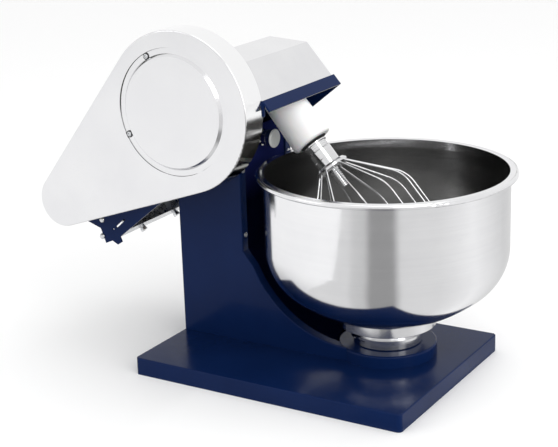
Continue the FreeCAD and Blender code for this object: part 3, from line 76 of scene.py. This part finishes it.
class Look:
    """One procedural material, built up on a Principled shader."""

    def __init__(self, name, **sockets):
        self.material = bpy.data.materials.new(name)
        self.material.use_nodes = True
        self.tree = self.material.node_tree
        self.shader = next(n for n in self.tree.nodes if n.type == "BSDF_PRINCIPLED")
        for label, value in sockets.items():
            self.shader.inputs[label.replace("_", " ")].default_value = value
        self.point = self.add("ShaderNodeTexCoord").outputs["Object"]
        self.relief = None

    def add(self, kind, **settings):
        node = self.tree.nodes.new(kind)
        for name, value in settings.items():
            setattr(node, name, value)
        return node

    def feed(self, socket, value):
        if isinstance(value, bpy.types.NodeSocket):
            self.tree.links.new(value, socket)
        else:
            socket.default_value = value

    def math(self, operation, a, b=0.0):
        node = self.add("ShaderNodeMath", operation=operation)
        self.feed(node.inputs[0], a)
        self.feed(node.inputs[1], b)
        return node.outputs[0]

    def plus(self, first, second, share):
        """First value with a share of the second added to it."""
        return self.math("ADD", first, self.math("MULTIPLY", second, share))

    def shares(self, first, share, second, other):
        """Sum of two values, each by its own share."""
        return self.math("ADD", self.math("MULTIPLY", first, share), self.math("MULTIPLY", second, other))

    def vector(self, operation, a, b=(0.0, 0.0, 0.0)):
        node = self.add("ShaderNodeVectorMath", operation=operation)
        self.feed(node.inputs[0], a)
        self.feed(node.inputs[1], b)
        return node.outputs["Value" if operation in ("LENGTH", "DOT_PRODUCT") else "Vector"]

    def in_arm(self):
        """Coordinates along, across and square to the arm."""
        node = self.add("ShaderNodeMapping", vector_type="TEXTURE")
        node.inputs["Location"].default_value = PIVOT
        node.inputs["Rotation"].default_value = (0.0, -TILT, 0.0)
        self.feed(node.inputs["Vector"], self.point)
        return node.outputs[0]

    def stretched(self, coordinates, scale):
        return self.vector("MULTIPLY", coordinates, scale)

    def on_lathe(self, point, axis):
        """(distance from the axis, distance along it, 0), so that a pattern runs in rings like tool marks."""
        offset = self.vector("SUBTRACT", self.point, tuple(point))
        height = self.vector("DOT_PRODUCT", offset, tuple(axis))
        scaled = self.add("ShaderNodeVectorMath", operation="SCALE")
        self.feed(scaled.inputs[0], tuple(axis))
        self.feed(scaled.inputs["Scale"], height)
        radius = self.vector("LENGTH", self.vector("SUBTRACT", offset, scaled.outputs[0]))
        joined = self.add("ShaderNodeCombineXYZ")
        self.feed(joined.inputs[0], radius)
        self.feed(joined.inputs[1], height)
        return joined.outputs[0]

    def noise(self, coordinates, scale, detail=3.0, roughness=0.55, distortion=0.0):
        node = self.add("ShaderNodeTexNoise")
        self.feed(node.inputs["Vector"], coordinates)
        node.inputs["Scale"].default_value = scale
        node.inputs["Detail"].default_value = detail
        node.inputs["Roughness"].default_value = roughness
        node.inputs["Distortion"].default_value = distortion
        return node.outputs["Fac"]

    def cells(self, coordinates, scale):
        node = self.add("ShaderNodeTexVoronoi")
        self.feed(node.inputs["Vector"], coordinates)
        node.inputs["Scale"].default_value = scale
        return node.outputs["Distance"]

    def span(self, value, low, high, start=0.3, end=0.7):
        node = self.add("ShaderNodeMapRange")
        self.feed(node.inputs["Value"], value)
        node.inputs["From Min"].default_value = start
        node.inputs["From Max"].default_value = end
        node.inputs["To Min"].default_value = low
        node.inputs["To Max"].default_value = high
        return node.outputs["Result"]

    def blend(self, factor, first, second):
        node = self.add("ShaderNodeMix", data_type="RGBA")
        self.feed(node.inputs["Factor"], factor)
        self.feed(node.inputs[6], first if isinstance(first, bpy.types.NodeSocket) else (*first, 1.0))
        self.feed(node.inputs[7], second if isinstance(second, bpy.types.NodeSocket) else (*second, 1.0))
        return node.outputs[2]

    def toned(self, value, first, second, start=0.3, end=0.7):
        return self.blend(self.span(value, 0.0, 1.0, start, end), first, second)

    def tint(self, value, first, second, start=0.3, end=0.7):
        self.feed(self.shader.inputs["Base Color"], self.toned(value, first, second, start, end))

    def gloss(self, value, low, high, start=0.3, end=0.7):
        self.feed(self.shader.inputs["Roughness"], self.span(value, low, high, start, end))

    def bump(self, height, distance, strength=1.0):
        node = self.add("ShaderNodeBump")
        node.inputs["Strength"].default_value = strength
        node.inputs["Distance"].default_value = distance
        self.feed(node.inputs["Height"], height)
        if self.relief is not None:
            self.feed(node.inputs["Normal"], self.relief)
        self.relief = node.outputs["Normal"]
        self.feed(self.shader.inputs["Normal"], self.relief)


def enamel(name, dark, light, shine=0.07, coat=0.05):
    """Gloss enamel with a faint orange peel and slight pooling of its colour."""
    look = Look(name, Specular_IOR_Level=shine, Coat_Weight=coat, Coat_Roughness=0.05)
    broad = look.noise(look.point, 9.0, 3.0)
    peel = look.noise(look.point, 620.0, 2.0)
    fine = look.noise(look.point, 60.0, 4.0)
    look.tint(broad, dark, light)
    look.gloss(fine, 0.17, 0.27)
    look.bump(peel, 0.00004, 0.5)
    look.bump(broad, 0.0006, 0.12)
    return look.material


def painted_shade_enamel():
    """The same enamel on the sheet behind the bowl, painted nearly black low down as painted shade where no
    light reaches.
    """
    look = Look("navy_painted_shade", Specular_IOR_Level=0.0)
    broad = look.noise(look.point, 9.0, 3.0)
    peel = look.noise(look.point, 620.0, 2.0)
    place = look.add("ShaderNodeNewGeometry")
    height = look.vector("DOT_PRODUCT", place.outputs["Position"], tuple(VERTICAL))
    # Painted shade: below about 0.25 m the sheet gets a nearly black tone instead of the navy
    painted_shade_tone = look.toned(broad, (0.0008, 0.0014, 0.008), (0.0012, 0.0022, 0.012))
    open_tone = look.toned(broad, (0.0080, 0.0110, 0.060), (0.0110, 0.0150, 0.075))
    raised = look.span(look.plus(height, broad, 0.01), 0.0, 1.0, 0.225, 0.275)
    look.feed(look.shader.inputs["Base Color"], look.blend(raised, painted_shade_tone, open_tone))
    look.gloss(broad, 0.22, 0.34)
    look.bump(peel, 0.00004, 0.5)
    return look.material


def sheet_steel(name, dark, light):
    """Polished sheet with a very fine grain along the arm and faint handling haze."""
    look = Look(name, Metallic=1.0)
    arm = look.in_arm()
    grain = look.noise(look.stretched(arm, (40.0, 1600.0, 1600.0)), 1.0, 2.0)
    haze = look.noise(arm, 14.0, 4.0)
    look.tint(haze, dark, light)
    look.gloss(look.plus(haze, grain, 0.35), 0.10, 0.19, 0.45, 0.95)
    look.bump(grain, 0.00001, 0.35)
    return look.material


def rim_steel(name, dark, light, shade):
    """Polished sheet with painted light: its rim is painted brighter than its face as a painted highlight,
    and where the rim faces down it is painted dark as a painted reflection of the dark machine below.
    """
    look = Look(name, Metallic=1.0)
    arm = look.in_arm()
    grain = look.noise(look.stretched(arm, (40.0, 1600.0, 1600.0)), 1.0, 2.0)
    haze = look.noise(arm, 14.0, 4.0)
    place = look.add("ShaderNodeNewGeometry")
    falling = look.vector("DOT_PRODUCT", place.outputs["Normal"], (0.0, 0.0, -1.0))
    # Painted shade: downward-facing sides are painted dark, a painted reflection of the machine below
    downward_painted_shade = look.span(look.plus(falling, haze, 0.08), 0.0, 1.0, 0.02, 0.30)
    across = look.vector("DOT_PRODUCT", place.outputs["Normal"], (0.0, -1.0, 0.0))
    face = look.span(across, 0.0, 1.0, 0.3, 0.8)
    tone = look.toned(haze, dark, light)
    # Painted highlight: the rest of the rim is painted a brighter steel (0.90) than the face
    rim = look.blend(downward_painted_shade, (0.90, 0.90, 0.905), shade)
    look.feed(look.shader.inputs["Base Color"], look.blend(face, rim, tone))
    look.gloss(look.plus(haze, grain, 0.35), 0.10, 0.19, 0.45, 0.95)
    look.bump(grain, 0.00001, 0.35)
    return look.material


def spun_steel(name, point, axis, dark, light, rough, ring=900.0, relief=0.000012):
    """Turned or spun metal: rings round the axis in its colour, gloss and relief."""
    look = Look(name, Metallic=1.0)
    lathe = look.on_lathe(point, axis)
    rings = look.noise(lathe, ring, 3.0, 0.7)
    wide = look.noise(lathe, ring * 0.09, 2.0)
    haze = look.noise(look.point, 18.0, 4.0)
    look.tint(look.shares(rings, 0.4, haze, 0.6), dark, light)
    look.gloss(look.shares(wide, 0.5, haze, 0.5), *rough)
    look.bump(rings, relief, 0.5)
    return look.material


def bowl_steel():
    """Spun bowl: bright polished outside; the inside is a rougher finish with rings from the spinning tool,
    and its colour is painted much darker as painted shade.
    """
    look = Look("bowl_steel", Metallic=1.0)
    lathe = look.on_lathe(BOWL_AXIS, VERTICAL)
    rings = look.noise(lathe, 760.0, 3.0, 0.7)
    wide = look.noise(lathe, 55.0, 2.0)
    haze = look.noise(look.point, 16.0, 4.0)
    place = look.add("ShaderNodeNewGeometry")
    offset = look.vector("SUBTRACT", place.outputs["Position"], tuple(BOWL_AXIS))
    flat = look.vector("MULTIPLY", offset, (1.0, 1.0, 0.0))
    outward = look.vector("NORMALIZE", flat)
    away = look.vector("DOT_PRODUCT", place.outputs["Normal"], outward)
    upward = look.vector("DOT_PRODUCT", place.outputs["Normal"], tuple(VERTICAL))
    height = look.vector("DOT_PRODUCT", place.outputs["Position"], tuple(VERTICAL))
    below_rim = look.span(height, 1.0, 0.0, 0.2655, 0.2675)
    inward = look.math("LESS_THAN", look.math("SUBTRACT", away, look.math("MULTIPLY", upward, 0.8)), 0.0)
    inside = look.math("MULTIPLY", inward, below_rim)
    mottle = look.shares(rings, 0.45, haze, 0.55)
    bright = look.toned(mottle, (0.75, 0.75, 0.765), (0.82, 0.82, 0.83))
    # Painted shade: the inside wall below the rim gets a much darker steel colour than the outside
    inside_painted_shade = look.toned(mottle, (0.27, 0.27, 0.27), (0.34, 0.34, 0.335))
    look.feed(look.shader.inputs["Base Color"], look.blend(inside, bright, inside_painted_shade))
    polish = look.span(look.shares(wide, 0.6, haze, 0.4), 0.09, 0.17)
    look.feed(look.shader.inputs["Roughness"], look.plus(polish, inside, 0.08))
    look.bump(rings, 0.000005, 0.4)
    look.bump(wide, 0.00005, 0.2)
    return look.material


def machined(name, dark, light, rough, scale=420.0):
    """Milled or ground metal without a main direction."""
    look = Look(name, Metallic=1.0)
    fine = look.noise(look.stretched(look.in_arm(), (scale, scale * 5.0, scale * 1.4)), 1.0, 3.0)
    patches = look.noise(look.point, 30.0, 4.0)
    look.tint(look.shares(fine, 0.5, patches, 0.5), dark, light)
    look.gloss(patches, *rough)
    look.bump(fine, 0.00002, 0.5)
    return look.material


def zinc(name):
    """Bright zinc plating with its faint crystal mottle."""
    look = Look(name, Metallic=1.0)
    crystals = look.cells(look.point, 700.0)
    patches = look.noise(look.point, 120.0, 3.0)
    look.tint(look.plus(crystals, patches, 0.6), (0.50, 0.51, 0.53), (0.66, 0.67, 0.68), 0.4, 1.0)
    look.gloss(patches, 0.20, 0.36)
    look.bump(crystals, 0.00003, 0.4)
    return look.material


def cast(name, dark, light):
    """Cast aluminium: grainy skin with soft mottling."""
    look = Look(name, Metallic=1.0)
    skin = look.noise(look.point, 900.0, 4.0)
    patches = look.noise(look.point, 45.0, 3.0)
    look.tint(patches, dark, light)
    look.gloss(skin, 0.34, 0.52)
    look.bump(skin, 0.0001, 0.6)
    return look.material


def satin_paint(name, dark, light):
    """Satin enamel with a fine grain."""
    look = Look(name, Specular_IOR_Level=0.45)
    grain = look.noise(look.point, 1100.0, 2.0)
    patches = look.noise(look.point, 25.0, 3.0)
    look.tint(patches, dark, light)
    look.gloss(grain, 0.36, 0.50)
    look.bump(grain, 0.00006, 0.6)
    return look.material


def moulded(name, dark, light, rough, grain=1500.0, relief=0.00003, **sockets):
    """Moulded plastic with a fine surface grain."""
    look = Look(name, **sockets)
    skin = look.noise(look.point, grain, 2.0)
    flow = look.noise(look.point, 22.0, 3.0, distortion=0.6)
    look.tint(flow, dark, light)
    look.gloss(look.shares(skin, 0.6, flow, 0.4), *rough)
    look.bump(skin, relief, 0.5)
    return look.material


def rubber(name, dark, light):
    """Matt rubber with a faint bloom."""
    look = Look(name, Specular_IOR_Level=0.35)
    bloom = look.noise(look.point, 70.0, 4.0)
    grain = look.noise(look.point, 1400.0, 2.0)
    look.tint(bloom, dark, light)
    look.gloss(bloom, 0.55, 0.74)
    look.bump(grain, 0.00006, 0.6)
    return look.material


def wire_steel():
    """Drawn and polished wire, with faint die lines."""
    look = Look("wire_steel", Metallic=1.0)
    lines = look.noise(look.stretched(look.in_arm(), (1800.0, 1800.0, 120.0)), 1.0, 2.0)
    look.tint(lines, (0.66, 0.66, 0.67), (0.78, 0.78, 0.79))
    look.gloss(lines, 0.08, 0.17)
    look.bump(lines, 0.000008, 0.4)
    return look.material


NAVY = enamel("navy_enamel", (0.0022, 0.0110, 0.054), (0.0034, 0.0145, 0.068))
# Column front enamel with painted shade low down
NAVY_PAINTED_SHADE = painted_shade_enamel()
SHEET_TONES = ((0.73, 0.73, 0.745), (0.775, 0.775, 0.785))
SHEET = sheet_steel("polished_sheet", *SHEET_TONES)
# Guard: rim with painted highlight, downward sides with painted shade (0.18)
GUARD = rim_steel("guard_steel", *SHEET_TONES, (0.18, 0.18, 0.165))
DOOR = spun_steel("lid_steel", DOOR_POINT, ACROSS, *SHEET_TONES, (0.09, 0.17), 700.0, 0.000006)
BOWL = bowl_steel()
COLLAR = spun_steel(
    "collar_steel", BOWL_AXIS, VERTICAL, (0.66, 0.66, 0.67), (0.78, 0.78, 0.79), (0.10, 0.20),
)
TOOLING = spun_steel(
    "tool_steel", TOOL_POINT, UP, (0.66, 0.66, 0.67), (0.80, 0.80, 0.81), (0.10, 0.20), 1100.0,
)
WIRE = wire_steel()
KNOB = spun_steel(
    "knob_chrome", KNOB_POINT, (1.0, 0.0, 0.0), (0.42, 0.43, 0.42), (0.56, 0.57, 0.56), (0.08, 0.18),
)
KNOB_FACE = moulded(
    "knob_face", (0.86, 0.90, 0.86), (0.93, 0.95, 0.92), (0.12, 0.24),
    Coat_Weight=0.4, Coat_Roughness=0.05,
)
HOUSING = moulded(
    "white_housing", (0.90, 0.90, 0.90), (0.94, 0.94, 0.935), (0.30, 0.42), 1200.0, 0.00003,
    Subsurface_Weight=0.12, Subsurface_Scale=0.004,
)
SEAL = rubber("seal_rubber", (0.020, 0.020, 0.022), (0.035, 0.035, 0.037))
BELT = rubber("belt_rubber", (0.012, 0.012, 0.013), (0.026, 0.026, 0.027))
BLACK_PAINT = satin_paint("black_paint", (0.010, 0.010, 0.012), (0.020, 0.020, 0.023))
BLACK_PLASTIC = moulded("black_plastic", (0.014, 0.014, 0.015), (0.024, 0.024, 0.025), (0.34, 0.5))
ZINC = zinc("zinc_plate")
STEEL = machined("machined_steel", (0.36, 0.36, 0.37), (0.52, 0.52, 0.53), (0.22, 0.36))
GROUND = machined("ground_steel", (0.44, 0.44, 0.46), (0.56, 0.56, 0.58), (0.14, 0.26), 700.0)
PIVOT_STEEL = spun_steel("pivot_steel", PIVOT, ACROSS, (0.42, 0.42, 0.43), (0.56, 0.56, 0.57), (0.18, 0.3))
BRONZE = machined("plain_bronze", (0.42, 0.26, 0.11), (0.56, 0.37, 0.17), (0.26, 0.42))
ALUMINIUM = cast("cast_aluminium", (0.50, 0.50, 0.51), (0.64, 0.64, 0.65))
PULLEY = spun_steel(
    "pulley_aluminium", PULLEY_POINT, ACROSS, (0.56, 0.56, 0.58), (0.70, 0.70, 0.72), (0.2, 0.34),
    500.0, 0.00004,
)

BY_SLOT = {
    "navy_paint": NAVY,
    "polished_sheet": SHEET,
    "black_paint": BLACK_PAINT,
    "stainless": COLLAR,
    "stainless_wire": WIRE,
    "chrome": KNOB,
    "steel": STEEL,
    "zinc_steel": ZINC,
    "bearing_steel": GROUND,
    "bronze": BRONZE,
    "aluminium": ALUMINIUM,
    "black_plastic": BLACK_PLASTIC,
    "pale_plastic": KNOB_FACE,
    "white_plastic": HOUSING,
    "belt_rubber": BELT,
    "seal_rubber": SEAL,
}
BY_NODE = {
    "bowl": BOWL,
    "guard_shell": GUARD,
    "column_front": NAVY_PAINTED_SHADE,
    "guard_door": DOOR,
    "drive_sleeve": TOOLING,
    "whisk_hub": TOOLING,
    "tool_shaft": TOOLING,
    "drive_pulley": PULLEY,
    "pivot_shaft": PIVOT_STEEL,
}
for part in frame["record"]["subparts"]:
    node = NODES[part["node"]]
    chosen = BY_NODE.get(part["node"], BY_SLOT[part["material_slot"]])
    if not node.data.materials:
        node.data.materials.append(chosen)
    for index in range(len(node.data.materials)):
        node.data.materials[index] = chosen


# ------------------------------------------------------------------ small pieces

def finish_mesh(name, mesh, material, body):
    """Makes an object of a bmesh that was built in the row frame, and fixes it to a body."""
    bmesh.ops.recalc_face_normals(mesh, faces=mesh.faces)
    data = bpy.data.meshes.new(name)
    mesh.to_mesh(data)
    mesh.free()
    piece = bpy.data.objects.new(name, data)
    bpy.context.scene.collection.objects.link(piece)
    data.materials.append(material)
    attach(piece, body)
    return piece


def lathe(name, profile, place, material, body, slot, steps=48):
    """Closed solid of revolution about the place's own Z, from (radius, height) points in millimetres."""
    mesh = bmesh.new()
    rows = []
    for k in range(steps):
        t = 2 * math.pi * k / steps
        rows.append([
            mesh.verts.new(place @ Vector((r / 1000 * math.cos(t), r / 1000 * math.sin(t), h / 1000)))
            for r, h in profile
        ])
    for k in range(steps):
        here, there = rows[k], rows[(k + 1) % steps]
        for i in range(len(profile)):
            j = (i + 1) % len(profile)
            mesh.faces.new((here[i], here[j], there[j], there[i])).smooth = True
    bmesh.ops.remove_doubles(mesh, verts=mesh.verts, dist=1e-7)
    piece = finish_mesh(name, mesh, material, body)
    piece.data.set_sharp_from_angle(angle=math.radians(32))
    return piece


def facing(point, direction):
    """Matrix at a point with its Z along a direction."""
    turn = Vector(direction).to_track_quat("Z", "Y").to_matrix().to_4x4()
    return Matrix.Translation(Vector(point)) @ turn


# Dark recess rings round the lid's two screws
CUP = [(3.5, 0.0), (4.9, 0.0), (4.9, 0.35), (4.5, 0.7), (3.5, 0.5)]
for number, angle in enumerate(LID_SCREW_ANGLES):
    t = math.radians(angle)
    a = DOOR_A + LID_SCREW_R * math.cos(t)
    b = DOOR_B + LID_SCREW_R * math.sin(t)
    seat = in_arm(a, GUARD_FACE_Y + LID_SCREW_DEPTH, b)
    lathe(f"lid_screw_cup_{number}", CUP, facing(seat, TOWARDS_GUARD), SEAL, "arm", "seal_rubber")

# Dome-headed bolts in the near plate's stepped rear corner
DOME = [(0.0, 0.0), (4.2, 0.0), (4.2, 0.8), (3.9, 1.6), (3.2, 2.4), (2.0, 2.9), (0.0, 3.1)]
for number, (a, b) in enumerate(REAR_BOLTS):
    seat = in_arm(a, NEAR_PLATE_Y, b)
    lathe(f"rear_bolt_{number}", DOME, facing(seat, TOWARDS_GUARD), ZINC, "arm", "zinc_steel")


# ------------------------------------------------------------------ stage, light and camera

def panel(name, corners, material):
    """Flat stage sheet from its corners."""
    mesh = bmesh.new()
    mesh.faces.new([mesh.verts.new(corner) for corner in corners])
    data = bpy.data.meshes.new(name)
    mesh.to_mesh(data)
    mesh.free()
    data.materials.append(material)
    made = bpy.data.objects.new(name, data)
    bpy.context.scene.collection.objects.link(made)
    return made


FLOOR = Look("floor_white", Specular_IOR_Level=0.2, Base_Color=(0.94, 0.94, 0.94, 1.0), Roughness=0.7)
FLOOR_HALF = 12.0
panel("floor", [
    (-FLOOR_HALF, -FLOOR_HALF, 0.0), (FLOOR_HALF, -FLOOR_HALF, 0.0),
    (FLOOR_HALF, FLOOR_HALF, 0.0), (-FLOOR_HALF, FLOOR_HALF, 0.0),
], FLOOR.material)

world = bpy.data.worlds.new("studio")
bpy.context.scene.world = world
world.use_nodes = True
background = next(n for n in world.node_tree.nodes if n.type == "BACKGROUND")
background.inputs["Color"].default_value = (1.0, 1.0, 1.0, 1.0)
background.inputs["Strength"].default_value = 1.0


def softbox(name, place, target, size, watts):
    """Soft rectangular light that the camera does not see."""
    data = bpy.data.lights.new(name, "AREA")
    data.shape = "RECTANGLE"
    data.size, data.size_y = size
    data.energy = watts
    lamp = bpy.data.objects.new(name, data)
    bpy.context.scene.collection.objects.link(lamp)
    lamp.location = place
    lamp.rotation_mode = "QUATERNION"
    lamp.rotation_quaternion = (Vector(target) - Vector(place)).to_track_quat("-Z", "Y")
    lamp.visible_camera = False


def glossy_card(name, corners, centre, tones):
    """Glowing floor card, a painted reflection that only reflections see; its tone changes with the angle
    round a centre.
    """
    material = bpy.data.materials.new(name)
    material.use_nodes = True
    tree = material.node_tree
    tree.nodes.clear()
    place = tree.nodes.new("ShaderNodeNewGeometry")
    offset = tree.nodes.new("ShaderNodeVectorMath")
    offset.operation = "SUBTRACT"
    offset.inputs[1].default_value = centre
    split = tree.nodes.new("ShaderNodeSeparateXYZ")
    angle = tree.nodes.new("ShaderNodeMath")
    angle.operation = "ARCTAN2"
    scaled = tree.nodes.new("ShaderNodeMapRange")
    scaled.inputs["From Min"].default_value = -math.pi
    scaled.inputs["From Max"].default_value = math.pi
    ramp = tree.nodes.new("ShaderNodeValToRGB")
    glow = tree.nodes.new("ShaderNodeEmission")
    output = tree.nodes.new("ShaderNodeOutputMaterial")
    tree.links.new(place.outputs["Position"], offset.inputs[0])
    tree.links.new(offset.outputs[0], split.inputs[0])
    tree.links.new(split.outputs["Y"], angle.inputs[0])
    tree.links.new(split.outputs["X"], angle.inputs[1])
    tree.links.new(angle.outputs[0], scaled.inputs["Value"])
    tree.links.new(scaled.outputs[0], ramp.inputs["Fac"])
    tree.links.new(ramp.outputs["Color"], glow.inputs["Color"])
    tree.links.new(glow.outputs[0], output.inputs["Surface"])
    stops = ramp.color_ramp.elements
    while len(stops) < len(tones):
        stops.new(0.5)
    for stop, (degrees, tone) in zip(stops, tones):
        stop.position = (degrees + 180.0) / 360.0
        stop.color = (tone, tone, tone, 1.0)
    card = panel(name, corners, material)
    card.visible_camera = False
    card.visible_diffuse = False
    card.visible_shadow = False
    card.visible_transmission = False


# Painted reflection: the bowl's outside mirrors the floor in front of it, and a dark patch on a glowing card
# there, hidden from the camera, draws its dark upright band
CARD_X, CARD_Y, CARD_Z = (-0.1, 2.6), (-2.6, 1.2), 0.004
glossy_card(
    "bowl_card", [
        (CARD_X[0], CARD_Y[0], CARD_Z), (CARD_X[1], CARD_Y[0], CARD_Z),
        (CARD_X[1], CARD_Y[1], CARD_Z), (CARD_X[0], CARD_Y[1], CARD_Z),
    ],
    tuple(BOWL_AXIS),
    ((-150.0, 0.82), (-95.0, 0.82), (-90.0, 0.70), (-81.0, 0.66), (-76.0, 0.36), (-58.0, 0.36),
     (-52.0, 0.82), (-20.0, 0.84), (15.0, 1.05), (60.0, 0.75)),
)

softbox("key", (2.0, -1.6, 2.0), (0.0, 0.0, 0.2), (1.2, 1.6), 16.0)
softbox("fill", (-1.8, -1.9, 1.6), (0.0, 0.0, 0.2), (1.2, 1.2), 4.0)
softbox("top", (0.1, 0.5, 2.4), (0.0, 0.0, 0.2), (1.4, 1.4), 5.0)
softbox("side", (2.2, -0.5, 0.8), (0.0, 0.0, 0.25), (0.9, 0.9), 9.0)

CAMERA_PLACE = Vector((0.89994, -1.54546, 0.75656))
CAMERA_AZIMUTH, CAMERA_ELEVATION, CAMERA_ROLL = 31.74, 17.28, -1.89
CAMERA_LENS, CAMERA_SENSOR = 90.73, 36.0

camera_data = bpy.data.cameras.new("camera")
camera = bpy.data.objects.new("camera", camera_data)
bpy.context.scene.collection.objects.link(camera)
azimuth, elevation = math.radians(CAMERA_AZIMUTH), math.radians(CAMERA_ELEVATION)
roll = math.radians(CAMERA_ROLL)
back = Vector((
    math.sin(azimuth) * math.cos(elevation),
    -math.cos(azimuth) * math.cos(elevation),
    math.sin(elevation),
))
level = Vector((math.cos(azimuth), math.sin(azimuth), 0.0))
head = back.cross(level)
side = level * math.cos(roll) + head * math.sin(roll)
rise = head * math.cos(roll) - level * math.sin(roll)
camera.matrix_world = Matrix((
    (side.x, rise.x, back.x, CAMERA_PLACE.x),
    (side.y, rise.y, back.y, CAMERA_PLACE.y),
    (side.z, rise.z, back.z, CAMERA_PLACE.z),
    (0.0, 0.0, 0.0, 1.0),
))
camera_data.sensor_width = CAMERA_SENSOR
camera_data.lens = CAMERA_LENS
camera_data.clip_start, camera_data.clip_end = 0.05, 60.0
bpy.context.scene.camera = camera
bpy.context.scene.view_settings.view_transform = "Standard"

bpy.context.view_layer.update()
